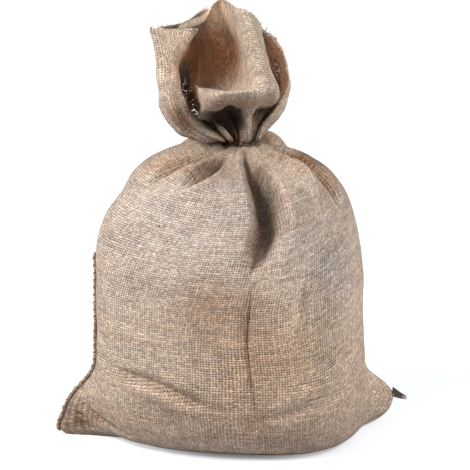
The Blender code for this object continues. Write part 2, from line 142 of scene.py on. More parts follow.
FOLDS = (
    # name, angle, down, angle, down, angle, down, half width, depth, edge
    ("front hollow top", 108, 22, 110, 66, 110, 112, 7, 17, 2.4),
    ("front hollow", 109, 66, 108, 136, 97, 234, 18, 38, 3.7),
    ("front hollow tail", 101, 176, 97, 210, 95, 250, 6, 9, 1.7),
    ("front panel edge", 118, 34, 120, 112, 118, 180, 8, -7, 1.8),
    ("front left edge", 97, 34, 100, 120, 94, 205, 7, -6, 2.0),
    ("front crease", 99, 222, 94, 330, 96, 455, 6, 6, 1.5),
    ("front crease lip", 94, 225, 90, 330, 92, 440, 8, -3, 2.0),
    ("right crease", 120, 240, 118, 302, 116, 366, 5, 3.5, 1.5),
    ("left shoulder", 66, 14, 46, 66, 32, 136, 9, 18, 2.2),
    ("left shoulder ridge", 74, 24, 54, 78, 43, 126, 7, -7, 1.8),
    ("left gusset", 77, 34, 70, 76, 58, 118, 8, 21, 2.6),
    ("left panel top", 84, 48, 76, 88, 64, 124, 7, -6, 1.8),
    ("right shoulder line", 142, 16, 151, 58, 148, 104, 4, 5, 1.8),
    ("right shoulder", 163, 38, 161, 104, 156, 176, 10, 20, 2.4),
    ("right shoulder ridge", 147, 30, 148, 96, 142, 150, 8, -7, 1.8),
    ("back lobe", 216, 16, 210, 40, 199, 72, 14, -15, 2.0),
    ("left lobe", 352, 10, 350, 30, 348, 60, 13, -9, 2.0),
    ("low left", 32, 386, 64, 401, 90, 430, 7, 9, 1.8),
    ("low left swell", 34, 402, 64, 415, 86, 442, 9, -6, 2.0),
    ("low right", 96, 440, 122, 420, 146, 398, 10, 4, 2.0),
    ("left ear fold", 1, 446, 12, 474, 44, 484, 5, 7, 1.7),
    ("left dent", 2, 360, 16, 376, 34, 396, 8, 5, 2.0),
    ("right ear fold", 176, 420, 174, 450, 168, 480, 7, 4, 2.0),
    ("back right", 224, 36, 228, 85, 232, 165, 11, 11, 2.0),
    ("back middle", 258, 10, 256, 95, 252, 215, 11, 16, 2.0),
    ("back left", 296, 10, 306, 70, 314, 155, 11, 12, 2.0),
    ("back side", 336, 12, 338, 70, 340, 130, 9, 8, 2.0),
    ("back crease", 252, 210, 262, 320, 256, 440, 8, 5, 1.7),
    ("back low", 284, 430, 310, 400, 340, 380, 10, 6, 2.0),
)
SWELL = 0.16
SWELL_AT = 2.1
FOLD_TIP = 0.35
FOLD_FADE = 0.7
FOLD_BOX = 5  # half widths from a fold's line within which the cloth is moved

PLEATS = ((9, 20, 2.4), (14, 75, 1.7), (23, 140, 0.9))  # count, shift in degrees, depth
PLEAT_REACH = 62.0
PLEAT_START = 5.0
PLEAT_GROWTH = 16.0
PLEAT_DRIFT = 0.35

# Gathers of the collar just above the tie: count, shift in degrees, height, reach up the collar.
GATHERS = ((19, 10, 2.2, 80), (31, 95, 1.8, 56), (43, 210, 1.1, 36))
GATHER_START = 9.0  # above the tie, over which a gather rises
GATHER_DRIFT = 0.12

# Soft wrinkles, each a sum of waves that run in all directions: seed, how many waves, length, height.
BODY_WRINKLES = ((3, 9, 120, 1.1), (4, 12, 46, 0.5))
COLLAR_WRINKLES = (8, 10, 34, 0.7)
BODY_WRINKLE_START, COLLAR_WRINKLE_START = 60.0, 30.0  # from the tie, over which they rise
WAVE_SIZES = (0.6, 1.7)  # shares of the length

# Creases too fine for the solid, laid out as the folds are.
CREASES = (
    # name, angle, down, angle, down, angle, down, half width, depth, edge
    ("front crease line", 97, 226, 94, 330, 96, 455, 2.2, 3.0, 2.0),
    ("right crease line", 119, 236, 116, 290, 112, 345, 1.6, 2.4, 2.0),
    ("low left line", 36, 390, 64, 402, 90, 430, 2.4, 3.8, 2.0),
    ("low left threads", 40, 398, 64, 410, 84, 432, 3.0, -3.2, 2.0),
    ("ear line", 1, 452, 8, 472, 30, 484, 2.0, 3.0, 2.0),
    ("ear pocket", 1, 464, 3, 471, 6, 478, 2.0, 5.0, 2.0),
    ("right ear line", 176, 432, 178, 452, 179, 474, 2.0, 2.5, 2.0),
)

# Weave: one thread to the next across and along the sack, in metres.
WARP_PITCH = 0.0034
WEFT_PITCH = 0.0033
LEAN = 0.26  # sideways, for each metre down: the warp leans to the right at the top
LEAN_REACH = 0.29  # metres down, below which the warp stands straight
PACKED = (0.39, 0.46)  # metres down over which the weave closes up and its warp stands out
GIRTH = 1.0  # twice the flat sack's width
GIRTH_AT = 250.0  # millimetres down, where the body's girth is the flat cloth's
TIED_LENGTH = 0.004  # of cloth under the twine

# The weft's rows rise towards the right side.
RISE = 40.0  # millimetres
RISE_RIGHT, RISE_BACK = (97, 68), (180, 150)  # degrees round: from where and over how many
RISE_STARTS, RISE_ENDS = (90, 120), (330, 130)  # millimetres down: from where and over how many
RISE_LOST = 0.85  # share that is gone low down

# Camera: where it looks, how far off and how high it stands, and the width it takes in there.
LOOK_AT = (0.0016, 0.0035, 0.2705)
DISTANCE = 2.40
ELEVATION = math.radians(13.0)
SPAN = 0.6267


def catmull(knots, values, where):
    """Smooth curve through values at the rising knots, read at where."""
    knots = np.asarray(knots, float)
    values = np.asarray(values, float).reshape(len(knots), -1)
    slopes = np.gradient(values, knots, axis=0)
    where = np.clip(where, knots[0], knots[-1])
    left = np.clip(np.searchsorted(knots, where, "right") - 1, 0, len(knots) - 2)
    span = (knots[left + 1] - knots[left])[:, None]
    t = ((where - knots[left])[:, None]) / span
    return (
        values[left] * (1 + 2 * t) * (1 - t) ** 2
        + values[left + 1] * t**2 * (3 - 2 * t)
        + span * (slopes[left] * t * (1 - t) ** 2 + slopes[left + 1] * t**2 * (t - 1))
    )


def periodic(values, where):
    count = len(values)
    knots = np.arange(-3, count + 4)
    return catmull(knots, values[knots % count], where)


def smooth(t):
    t = np.clip(t, 0, 1)
    return t * t * (3 - 2 * t)


def grown(value, start, span):
    return smooth((value - start) / span)


def column_angles():
    def half(count, crowded):
        fine = np.linspace(0, math.pi, CROWD_SAMPLES)
        density = np.ones(len(fine))
        for angle, more, reach in (*EDGE_CROWDS, *crowded):
            density += more * np.exp(-(((fine - angle) / reach) ** 2))
        total = np.concatenate([[0], np.cumsum((density[1:] + density[:-1]) / 2)])
        return np.interp(np.arange(count) / count * total[-1], total, fine)

    return np.concatenate([half(FRONT_COLUMNS, FOLD_CROWDS), math.pi + half(BACK_COLUMNS, ())])


def column_ribs():
    front = np.arange(FRONT_COLUMNS) / FRONT_COLUMNS * FRONT_RIBS
    return np.concatenate([front, FRONT_RIBS + np.arange(BACK_COLUMNS) / BACK_COLUMNS * BACK_RIBS])


def body_lengths():
    table = np.array(BODY, float)
    steps = np.hypot(np.diff(table[:, 0]), np.diff(table[:, 1]))
    return np.concatenate([[0], np.cumsum(steps)])


def plain_body(angles, down):
    table = catmull(body_lengths(), BODY, down)
    table[:, 0] = np.maximum(table[:, 0], 0)
    height, left, right, front, back, drop = (column[:, None] for column in table.T)
    cosine, sine = -np.cos(angles)[None, :], np.sin(angles)[None, :]
    power = 2 / (2 + (SQUARE - 2) * smooth(down / SQUARE_REACH))[:, None]
    across = np.sign(cosine) * np.abs(cosine) ** power
    deep = np.abs(sine) ** power
    x = (left + right) / 2 + (right - left) / 2 * across
    y = np.where(sine > 0, front * (1 + FRONT_SKEW * across), back) * deep
    z = height - drop * sine**2
    at, *reaches = np.array(EARS, float).T
    ears = np.maximum(catmull(at, np.transpose(reaches), height[:, 0]), 0)
    for side, angle, out in ((0, 0.0, -1), (1, math.pi, 1)):
        away = np.abs((angles - angle + math.pi) % (2 * math.pi) - math.pi)
        x = x + out * ears[:, side][:, None] * np.exp(-away / EAR_SPREAD)[None, :]
    turn = YAW * (1 - YAW_EASED * np.where(sine > 0, sine, 0) ** 2)
    y = y + turn * x * smooth(down / YAW_REACH)[:, None]
    return np.stack([x, y, z], axis=-1)


def fold_points(fold, samples=48):
    angles, downs = np.radians(fold[1:7:2]), np.array(fold[2:8:2], float)
    t = np.linspace(0, 1, samples)
    path = catmull((0, 0.5, 1), np.column_stack([angles, downs]), t)
    points = np.array([plain_body(path[k : k + 1, 0], path[k : k + 1, 1])[0, 0] for k in range(samples)])
    return points, np.sin(math.pi * t) ** FOLD_FADE


def fold_depths(grid, folds):
    """How far each point of the body goes in along its normal."""
    depths = np.zeros(grid.shape[:2])
    flat = grid.reshape(-1, 3)
    for fold in folds:
        half, depth, edge = fold[7:10]
        points, share = fold_points(fold)
        low, high = points.min(0) - FOLD_BOX * half, points.max(0) + FOLD_BOX * half
        near = np.flatnonzero(((flat > low) & (flat < high)).all(1))
        gaps = np.linalg.norm(flat[near][:, None, :] - points[None], axis=2)
        nearest = gaps.argmin(1)
        away = gaps.min(1)
        reach = share[nearest]
        wide = half * (FOLD_TIP + (1 - FOLD_TIP) * reach)
        push = depth * reach * np.exp(-((away / wide) ** edge))
        push -= depth * SWELL * reach * np.exp(-((away / wide - SWELL_AT) ** 2))
        depths.reshape(-1)[near] += push
    return depths


def pleat_depths(angles, down):
    near = 1 - smooth(down / PLEAT_REACH)
    opened = grown(down, PLEAT_START, PLEAT_GROWTH)
    depths = np.zeros((len(down), len(angles)))
    for count, shift, depth in PLEATS:
        wave = np.cos(count * (angles + PLEAT_DRIFT * np.sin(2 * angles)) + math.radians(shift))
        depths += depth * (near * opened)[:, None] * wave[None, :]
    return depths


def wrinkles(points, seed, count, length, height):
    """Uneven swells of this height: a sum of plane waves of about this length in millimetres."""
    draw = np.random.default_rng(seed)
    total = np.zeros(points.shape[:-1])
    for _ in range(count):
        direction = draw.normal(size=3)
        direction /= np.linalg.norm(direction)
        size = length * draw.uniform(*WAVE_SIZES)
        total += np.sin(points @ direction * (2 * math.pi / size) + draw.uniform(0, 2 * math.pi))
    return height * (total / math.sqrt(count))


def body_surface(angles, down):
    plain = plain_body(angles, down)
    held = smooth(plain[:, :, 2] / FLAT_REACH)
    depths = fold_depths(plain, FOLDS + CREASES) + pleat_depths(angles, down)
    away = smooth(down / BODY_WRINKLE_START)[:, None]
    depths += away * sum(wrinkles(plain, *row) for row in BODY_WRINKLES)
    return plain - normals(plain) * (depths * held)[:, :, None]


def neck_size():
    left, right, front = BODY[0][1:4]
    return (left + right) / 2, (right - left) / 2, -front


def neck_angles(ribs):
    return np.where(ribs <= FRONT_RIBS, ribs / FRONT_RIBS, 1 + (ribs - FRONT_RIBS) / BACK_RIBS) * math.pi


def rib_lifts():
    """How far each fold line of the collar lies above each level."""
    lifts = np.zeros((len(COLLAR), len(LEVELS)))
    names = [row[0] for row in COLLAR]
    for name, *heights in LIFTS:
        lifts[names.index(name), -len(heights) :] = heights
    return lifts


def collar_surface(ribs, rows):
    table = np.array([row[1:] for row in COLLAR], float)
    levels = len(LEVELS)
    lifts = rib_lifts()
    angles = neck_angles(np.arange(len(COLLAR)))
    middle, wide, deep = neck_size()
    circle = [middle - wide * np.cos(angles), -deep * np.sin(angles)]
    rings = [np.stack(circle + [0 * angles + height], 1) for height in (TIED_FROM, TIED_TO)]
    for level, height in enumerate(LEVELS):
        rings.append(np.column_stack([table[:, 2 * level : 2 * level + 2], height + lifts[:, level]]))
    rings.append(table[:, 2 * levels : 2 * levels + 3])
    rings = np.array([periodic(ring, ribs) for ring in rings])
    hem = periodic(table[:, -2:], ribs)
    steps = np.linalg.norm(np.diff(rings, axis=0), axis=2).mean(1)
    knots = np.concatenate([[0], np.cumsum(steps)])
    where = np.concatenate([[0], np.linspace(knots[1], knots[-1], rows)])
    flat = catmull(knots, rings.reshape(len(rings), -1), where)
    grid = flat.reshape(len(where), len(ribs), 3)
    grid = grid + normals(grid) * gather_heights(ribs, grid)[:, :, None]
    return np.concatenate([grid, turned_hem(grid, hem)])


def gather_heights(ribs, grid):
    """Fine pleats above the tie, which open out up the collar, and soft wrinkles on all of it."""
    up = grid[:, :, 2] - TIED_TO
    turn = neck_angles(ribs)[None, :]
    heights = wrinkles(grid, *COLLAR_WRINKLES) * smooth(up / COLLAR_WRINKLE_START)
    uneven = turn + GATHER_DRIFT * np.sin(3 * turn)
    for count, shift, high, reach in GATHERS:
        near = smooth(up / GATHER_START) * (1 - grown(up, reach / 3, reach))
        heights += high * near * np.cos(count * uneven + math.radians(shift))
    return heights


def turned_hem(grid, hem):
    rows, point = [], grid[-1]
    up = grid[-1] - grid[-2]
    start = np.arctan2(-up[:, 1], up[:, 2])
    for step in range(1, HEM_ROWS + 1):
        angle = start + np.radians(hem[:, 1]) * step / HEM_ROWS
        length = hem[:, 0] / HEM_ROWS
        point = point + np.stack([0 * angle, -np.sin(angle) * length, np.cos(angle) * length], 1)
        rows.append(point)
    return np.array(rows)


def unit(vectors):
    return vectors / np.maximum(np.linalg.norm(vectors, axis=-1, keepdims=True), 1e-9)


def normals(grid):
    around = np.roll(grid, -1, 1) - np.roll(grid, 1, 1)
    up = np.gradient(grid, axis=0)
    return unit(np.cross(around, up))


def path_lengths(points):
    """How far along a line each of its points lies."""
    return np.concatenate([[0], np.cumsum(np.linalg.norm(np.diff(points, axis=0), axis=1))])


def read_along(where, along, values):
    """Values at these lengths along a line, from those at its points."""
    return np.stack([np.interp(where, along, values[:, axis]) for axis in range(3)], 1)


def metres(points):
    return (np.asarray(points, float) - MIDDLE) * MM


def tube_faces(rings, columns, start=0):
    """Faces of a tube from its rings of points, which are numbered from start, with its two ends last."""
    faces = []
    last = start + (rings - 1) * columns
    for low in range(start, last, columns):
        for k in range(columns):
            right = (k + 1) % columns
            faces.append((low + k, low + right, low + columns + right, low + columns + k))
    return faces + [tuple(range(start, start + columns)[::-1]), tuple(range(last, last + columns))]


def cloth_mesh(name, rows, across, along):
    """A closed mesh from rings of points, with its weave coordinates across and along the cloth."""
    points = metres(rows).reshape(-1, 3)
    faces = tube_faces(*rows.shape[:2])
    beside = np.roll(along, -1, 1)
    down = np.stack([along[:-1], beside[:-1], beside[1:], along[1:]], 2)
    turn = np.stack([across[:-1], across[1:], across[1:], across[:-1]], 1)
    weave = np.stack([np.broadcast_to(turn, down.shape), down], 3).reshape(-1, 2)
    ends = [points[k, :2] for end in faces[-2:] for k in end]
    mesh = bpy.data.meshes.new(name)
    mesh.from_pydata([tuple(point) for point in points], [], faces)
    layer = mesh.uv_layers.new(name="weave")
    layer.data.foreach_set("uv", np.concatenate([weave, ends]).astype(np.float32).reshape(-1))
    mesh.shade_smooth()
    return mesh


def place(mesh, name, material):
    piece = bpy.data.objects.new(name, mesh)
    mesh.materials.append(material)
    bpy.context.scene.collection.objects.link(piece)
    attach(piece, "root")
    return piece


class Net:
    """Short ways to add shader nodes to one material."""

    def __init__(self, name):
        self.material = bpy.data.materials.new(name)
        self.material.use_nodes = True
        self.tree = self.material.node_tree
        self.shader = self.tree.nodes["Principled BSDF"]

    def put(self, socket, value):
        if isinstance(value, bpy.types.NodeSocket):
            self.tree.links.new(value, socket)
        elif value is not None:
            socket.default_value = value

    def node(self, kind, *values, **settings):
        """The outputs of a new node. Its inputs take the values in turn, and None leaves one as it is."""
        node = self.tree.nodes.new("ShaderNode" + kind)
        for name, setting in settings.items():
            setattr(node, name, setting)
        for socket, value in zip(node.inputs, values):
            self.put(socket, value)
        return node.outputs

    def math(self, operation, *values):
        return self.node("Math", *values, operation=operation)[0]

    def plus(self, first, second):
        return self.math("ADD", first, second)

    def minus(self, first, second):
        return self.math("SUBTRACT", first, second)

    def times(self, first, second):
        return self.math("MULTIPLY", first, second)

    def length(self, vector):
        return self.node("VectorMath", vector, operation="LENGTH")["Value"]

    def ramp(self, value, low, high, bottom=0.0, top=1.0):
        """bottom below low, top above high, and a soft slope between."""
        return self.node("MapRange", value, low, high, bottom, top, interpolation_type="SMOOTHSTEP")[0]

    def join(self, x, y, z=0.0):
        return self.node("CombineXYZ", x, y, z)[0]

    def noise(self, vector, scale, detail, roughness=0.5):
        return self.node("TexNoise", vector, None, scale, detail, roughness)[0]

    def chance(self, vector):
        """One even draw from 0 to 1 for each whole place."""
        return self.node("TexWhiteNoise", vector, noise_dimensions="2D")[0]

    def mix(self, share, first, second, blend="MIX"):
        values = (share, *[None] * 5, first, second)
        return self.node("Mix", *values, data_type="RGBA", blend_type=blend)[2]

    def finish(self, colour, height=None, depth=None, alpha=None, roughness=0.92):
        """The material, with a bump of this depth in metres where it has a height."""
        self.put(self.shader.inputs["Base Color"], colour)
        self.shader.inputs["Roughness"].default_value = roughness
        self.shader.inputs["Specular IOR Level"].default_value = 0.15
        self.put(self.shader.inputs["Alpha"], alpha)
        if height is not None:
            self.put(self.shader.inputs["Normal"], self.node("Bump", 1.0, depth, None, height)[0])
        return self.material


# The weave. A ramp's four numbers are: from, to, and what it gives at each of them. A noise's are: how fine,
# how much detail and how rough.
THREADS = (
    # pitch, how often its rows wander and by how many pitches, how often it changes along its length,
    # where its noise starts, and half its width in pitches as a ramp
    (WARP_PITCH, 16.0, 1.9, 42.0, 1.0, (0.2, 0.8, 0.27, 0.46)),
    (WEFT_PITCH, 14.0, 1.7, 36.0, 7.0, (0.2, 0.8, 0.32, 0.50)),
)
WANDER_DETAIL = (4.0, 0.62)
THREAD_TONE = (0.9, 2.0)
THREAD_EDGE = (-0.05, 0.09)
ROUNDNESS = 2.2
UNDER, LIFT = 0.45, 0.5  # height of a thread where it dips, and how much higher it gets on top
OPEN_NOISE, OPEN_PLACES = (11.0, 3.0, 0.6), (0.36, 0.66)
OPENING = 0.10  # how much narrower half a thread is there
HOLE_SIZES = (0.1, 0.9, 0.25, 1.0)
PACKED_HOLES, PACKED_WEFT = (1.0, 0.35), (1.0, 0.62)
FIBRE_NOISE, GRAIN_NOISE = (900.0, 2.0, 0.7), (260.0, 2.0, 0.7)
LIGHTS = (
    # ramps by a thread's tone, by fibre, by height, by grain and by crossing; the one by height is painted
    # shade where a thread dips under
    (0.25, 0.75, 0.84, 1.17),
    (0.25, 0.75, 0.84, 1.16),
    (0.25, 0.85, 0.66, 1.08),
    (0.3, 0.7, 0.80, 1.20),
    (0.0, 1.0, 0.82, 1.18),
)
CLOUD_NOISE, STRAWS = (6.5, 4.0, 0.6), ((0.50, 0.375, 0.275, 1), (0.60, 0.475, 0.375, 1))
ODD_CHANGES, ODD_CHANCE, ODD_SHARE = 9.0, (0.80, 1.0), 0.35  # lengths of weft in another colour
ODD_COLOUR = (0.42, 0.28, 0.17, 1)
BLUSH_NOISE, BLUSH_RANGE = (34.0, 3.0, 0.6), (0.3, 0.7)
BLUSHES = ((1.02, 0.985, 0.98, 1), (0.98, 1.01, 1.02, 1))
# the gaps' colour is painted shade: the dark inside of the sack seen through them
HOLE_SHARE, HOLE_COLOUR = 0.92, (0.045, 0.028, 0.018, 1)
SEEN_THROUGH = (0.40, 0.75)
WEAVE_DEPTH, JUTE_DEPTH = 0.0009, 0.0004  # metres
JUTE_DETAIL, JUTE_RANGE = (4.0, 0.7), (0.3, 0.7)


def hessian(name, open_weave):
    """Plain-woven jute: uneven threads over and under, gaps between them dark with painted shade, and
    patches of stain and of painted shade and light.
    """
    net = Net(name)
    across, along, _ = net.node("SeparateXYZ", net.node("UVMap", uv_map="weave")[0])
    if not open_weave:
        across = net.plus(across, net.times(net.math("MINIMUM", along, LEAN_REACH), LEAN))
    place_on = net.join(across, along)
    openness = net.ramp(net.noise(place_on, *OPEN_NOISE), *OPEN_PLACES)
    if open_weave:
        thin = net.node("Attribute", attribute_name="thin")["Fac"]
        openness = net.plus(openness, thin)
    opening = net.times(openness, OPENING)

    # Threads wander by a share of their pitch, so the rows are never quite even. Each has its own thickness
    # and tone, and both change along it.
    threads = []
    crossed = net.join(along, across, 3.0)
    for sizes, (at, runs, vector) in zip(THREADS, ((across, along, place_on), (along, across, crossed))):
        pitch, often, far, changes, start, half = sizes
        wander = net.times(net.minus(net.noise(vector, often, *WANDER_DETAIL), 0.5), far)
        count = net.plus(net.math("DIVIDE", at, pitch), wander)
        row = net.math("FLOOR", count)
        off = net.math("ABSOLUTE", net.minus(net.math("FRACT", count), 0.5))
        tone = net.noise(net.join(row, net.times(runs, changes), start), *THREAD_TONE)
        inside = net.ramp(net.minus(net.minus(net.ramp(tone, *half), opening), off), *THREAD_EDGE)
        rounded = net.minus(1.0, net.times(off, net.times(off, ROUNDNESS)))
        threads.append((count, row, tone, inside, rounded))
    warp, warp_row, warp_tone, warp_in, warp_round = threads[0]
    weft, weft_row, weft_tone, weft_in, weft_round = threads[1]
    gap = net.times(net.minus(1.0, warp_in), net.minus(1.0, weft_in))
    corner = net.join(net.math("ROUND", warp), net.math("ROUND", weft))
    gap = net.times(gap, net.ramp(net.chance(corner), *HOLE_SIZES))
    gap = net.times(gap, net.ramp(along, *PACKED, *PACKED_HOLES))

    # Over and under: the thread on top changes from one crossing to the next.
    parity = net.math("MODULO", net.math("ABSOLUTE", net.plus(warp_row, weft_row)), 2.0)
    warp_rise = net.times(warp_in, net.plus(UNDER, net.times(parity, LIFT)))
    weft_rise = net.times(weft_in, net.minus(UNDER + LIFT, net.times(parity, LIFT)))
    weft_rise = net.times(weft_rise, net.ramp(along, *PACKED, *PACKED_WEFT))
    warp_high, weft_high = net.times(warp_rise, warp_round), net.times(weft_rise, weft_round)
    on_top = net.math("GREATER_THAN", warp_high, weft_high)
    height = net.math("MAXIMUM", warp_high, weft_high)

    tone = net.plus(net.times(on_top, warp_tone), net.times(net.minus(1.0, on_top), weft_tone))
    fibre = net.noise(net.join(across, along, 5.0), *FIBRE_NOISE)
    grain = net.noise(place_on, *GRAIN_NOISE)
    cell = net.join(net.math("FLOOR", net.plus(warp, 0.5)), weft_row, 5.0)
    light = 1.0
    for value, ramp in zip((tone, fibre, height, grain, net.chance(cell)), LIGHTS):
        light = net.times(light, net.ramp(value, *ramp))

    straw = net.mix(net.noise(place_on, *CLOUD_NOISE), *STRAWS)
    stretch = net.join(weft_row, net.math("FLOOR", net.times(across, ODD_CHANGES)))
    odd = net.ramp(net.chance(stretch), *ODD_CHANCE)
    straw = net.mix(net.times(odd, ODD_SHARE), straw, ODD_COLOUR)
    blush = net.mix(net.ramp(net.noise(place_on, *BLUSH_NOISE), *BLUSH_RANGE), *BLUSHES)
    # patches of stain and of painted shade and light, kept on the mesh
    tone_and_painted_light = net.node("Attribute", attribute_name="tone_and_painted_light")["Color"]
    for colour in (blush, tone_and_painted_light, net.join(light, light, light)):
        straw = net.mix(1.0, straw, colour, "MULTIPLY")
    # painted shade in the gaps
    colour = net.mix(net.times(gap, HOLE_SHARE), straw, HOLE_COLOUR)
    alpha = None
    if open_weave:
        # Behind a hole the wall's far face lets the light through too.
        far_face = net.node("NewGeometry")["Backfacing"]
        see = net.times(net.math("MAXIMUM", net.ramp(gap, *SEEN_THROUGH), far_face), thin)
        alpha = net.minus(1.0, see)
    return net.finish(colour, height, WEAVE_DEPTH, alpha)


def plain_jute(name, colour, dark, scale):
    """Twisted jute seen close: fibres of two tones."""
    net = Net(name)
    grain = net.noise(net.node("TexCoord")["Object"], scale, *JUTE_DETAIL)
    return net.finish(net.mix(net.ramp(grain, *JUTE_RANGE), (*dark, 1), (*colour, 1)), grain, JUTE_DEPTH)


def weave_across(angles):
    """Distance round the flat cloth to each column, from its girth at the belly, and the whole girth."""
    ring = plain_body(angles, np.array([GIRTH_AT]))[0]
    steps = np.linalg.norm(np.roll(ring, -1, 0) - ring, axis=1)
    return np.concatenate([[0], np.cumsum(steps)]) / steps.sum() * GIRTH


def weave_along(angles, down):
    """Distance down the cloth to each point: rows of weft rise towards the right side."""
    turn = np.degrees(angles)
    right = grown(turn, *RISE_RIGHT) * (turn <= 180)
    back = np.where(turn > 180, 1 - grown(turn, *RISE_BACK), 0)
    rise = RISE * grown(down, *RISE_STARTS) * (1 - RISE_LOST * grown(down, *RISE_ENDS))
    return (down[:, None] + rise[:, None] * (right + back)[None, :]) * MM


def within(points, row, edge=1):
    """How far each point lies inside a patch: 1 at its middle and 0 well outside. A high edge is sharp."""
    off = (points - row[1:4]) / row[4:7]
    return np.exp(-((off**2).sum(-1) ** edge))


def tints(points, table):
    """A colour for each point that multiplies the cloth's own: patches from a table, of stains or of painted
    shade and light.
    """
    colours = np.ones(points.shape)
    for row in table:
        share = within(points, row, *row[8:])
        colours *= 1 - share[..., None] * (1 - np.array(row[7]))
    return colours


def paint(mesh, name, values):
    """A colour attribute on the mesh's points, from a colour or one number for each."""
    layer = mesh.attributes.new(name, "FLOAT_COLOR", "POINT")
    full = np.ones((len(mesh.vertices), 4), np.float32)
    full[:, :3] = values.reshape(len(full), -1)
    layer.data.foreach_set("color", full.reshape(-1))


SLUBS = (
    # name, x, y, z, length, thickness
    ("high left", -94, -90, 302, 2.8, 1.1),
    ("high middle", -60, -110, 308, 2.2, 0.9),
    ("low middle", -48, -150, 105, 2.4, 0.9),
    ("near the floor", -24, -140, 36, 2.6, 0.9),
)
DOTS = (
    # a pulled weft that shows as a row of dark dots: where it starts, where it ends, how many
    ((72, -150, 142), (94, -146, 145), 8),
    ((94, -146, 145), (119, -132, 148), 9),
    ((71, -152, 108), (91, -148, 111), 8),
    ((91, -148, 111), (119, -135, 113), 10),
    ((92, -150, 86), (118, -141, 90), 9),
)
SLUB_SHAPE = (0.4, 0.9, 1.0, 0.9, 0.4)  # shares of its thickness along a slub
SLUB_OUT = 0.3  # how far its middle stands off the cloth
DOT_LENGTHS, DOT_RADII = (1.0, 2.0), (0.35, 0.7)
# Where a stray thread leaves the left side, where it goes, and how it bends.
STRAY = ((-187, 0, 175), (-9, -2, 3), (1, 0, 3))
STRAY_RADII = (0.45, 0.25)

# Patches on the body: greyer, browner and warmer cloth and one stain, and painted shade and painted light on
# hollows, creases, folds, sides and ears.
PATCHES = (
    # name, x, y, z, wide, deep, high, colour, and an edge other than 1
    # greyer cloth
    ("grey left", -72, -105, 308, 120, 100, 85, (0.98, 1.04, 1.15)),
    ("grey right", 105, -90, 255, 70, 90, 60, (0.81, 0.87, 0.97)),
    ("right panel", 70, -90, 335, 50, 60, 50, (0.87, 0.87, 0.89)),
    ("left panel", -4, -95, 330, 26, 50, 34, (0.81, 0.83, 0.86)),
    # darker towards the bottom
    ("low", 0, -130, 60, 260, 160, 60, (0.90, 0.86, 0.83)),
    ("low middle", 10, -150, 50, 120, 80, 40, (0.87, 0.84, 0.82)),
    # painted shade in the front hollow, with a painted highlight on its edge
    ("front hollow", 42, -90, 324, 17, 40, 36, (0.38, 0.31, 0.26), 2),
    ("hollow edge", 66, -84, 318, 9, 40, 44, (1.12, 1.08, 1.05)),
    ("hollow low", 32, -105, 288, 15, 40, 26, (0.51, 0.42, 0.36)),
    ("hollow top", 29, -72, 362, 12, 30, 20, (0.50, 0.40, 0.33)),
    # browner and warmer cloth
    ("middle", -28, -140, 205, 60, 90, 50, (0.71, 0.63, 0.57)),
    ("warm middle", 30, -140, 140, 120, 90, 50, (0.94, 0.88, 0.82)),
    ("warm right", 75, -140, 190, 50, 90, 60, (0.98, 0.94, 0.89)),
    # painted shade and a painted highlight beside the front crease
    ("crease side", 34, -140, 130, 24, 70, 90, (0.93, 0.88, 0.84)),
    ("crease left", 6, -140, 130, 14, 70, 90, (1.07, 1.05, 1.04)),
    # painted light on the sides, low on the left and on the right ear
    ("right side", 168, -50, 170, 36, 110, 130, (1.13, 1.11, 1.10)),
    ("low right side", 150, -60, 75, 50, 90, 40, (1.08, 1.06, 1.05)),
    ("left side", -165, -60, 220, 40, 80, 110, (1.07, 1.07, 1.08)),
    ("low left bright", -146, -110, 92, 40, 60, 14, (1.14, 1.12, 1.10)),
    ("right ear", 205, -10, 30, 40, 50, 34, (1.10, 1.08, 1.06)),
    # darker on the left ear, and painted shade in its pocket and fold, in the gaps and valleys by the
    # shoulders and the neck, and under the tie
    ("left ear", -205, -10, 22, 38, 40, 34, (0.58, 0.48, 0.42)),
    ("ear pocket", -205, -30, 23, 13, 30, 6, (0.52, 0.43, 0.36)),
    ("ear inner", -176, -54, 32, 20, 40, 11, (0.84, 0.76, 0.70)),
    ("shoulder gap", -30, -54, 372, 26, 24, 13, (0.50, 0.41, 0.35)),
    ("left shoulder", -84, -45, 375, 40, 30, 13, (1.00, 0.86, 0.74)),
    ("right shoulder", 94, -16, 372, 32, 38, 15, (0.52, 0.39, 0.31), 1.5),
    ("right shoulder low", 122, -22, 350, 18, 40, 15, (0.78, 0.66, 0.58), 1.5),
    ("shoulder crease", 56, -34, 386, 22, 20, 6, (0.76, 0.66, 0.56)),
    ("right lobe", 47, 5, 401, 12, 30, 6, (0.72, 0.60, 0.48)),
    ("tie shade", -4, -25, 392, 22, 16, 7, (0.40, 0.31, 0.25)),
    # a stain
    ("spot", 85, -75, 347, 5, 20, 2.5, (0.62, 0.60, 0.45)),
)

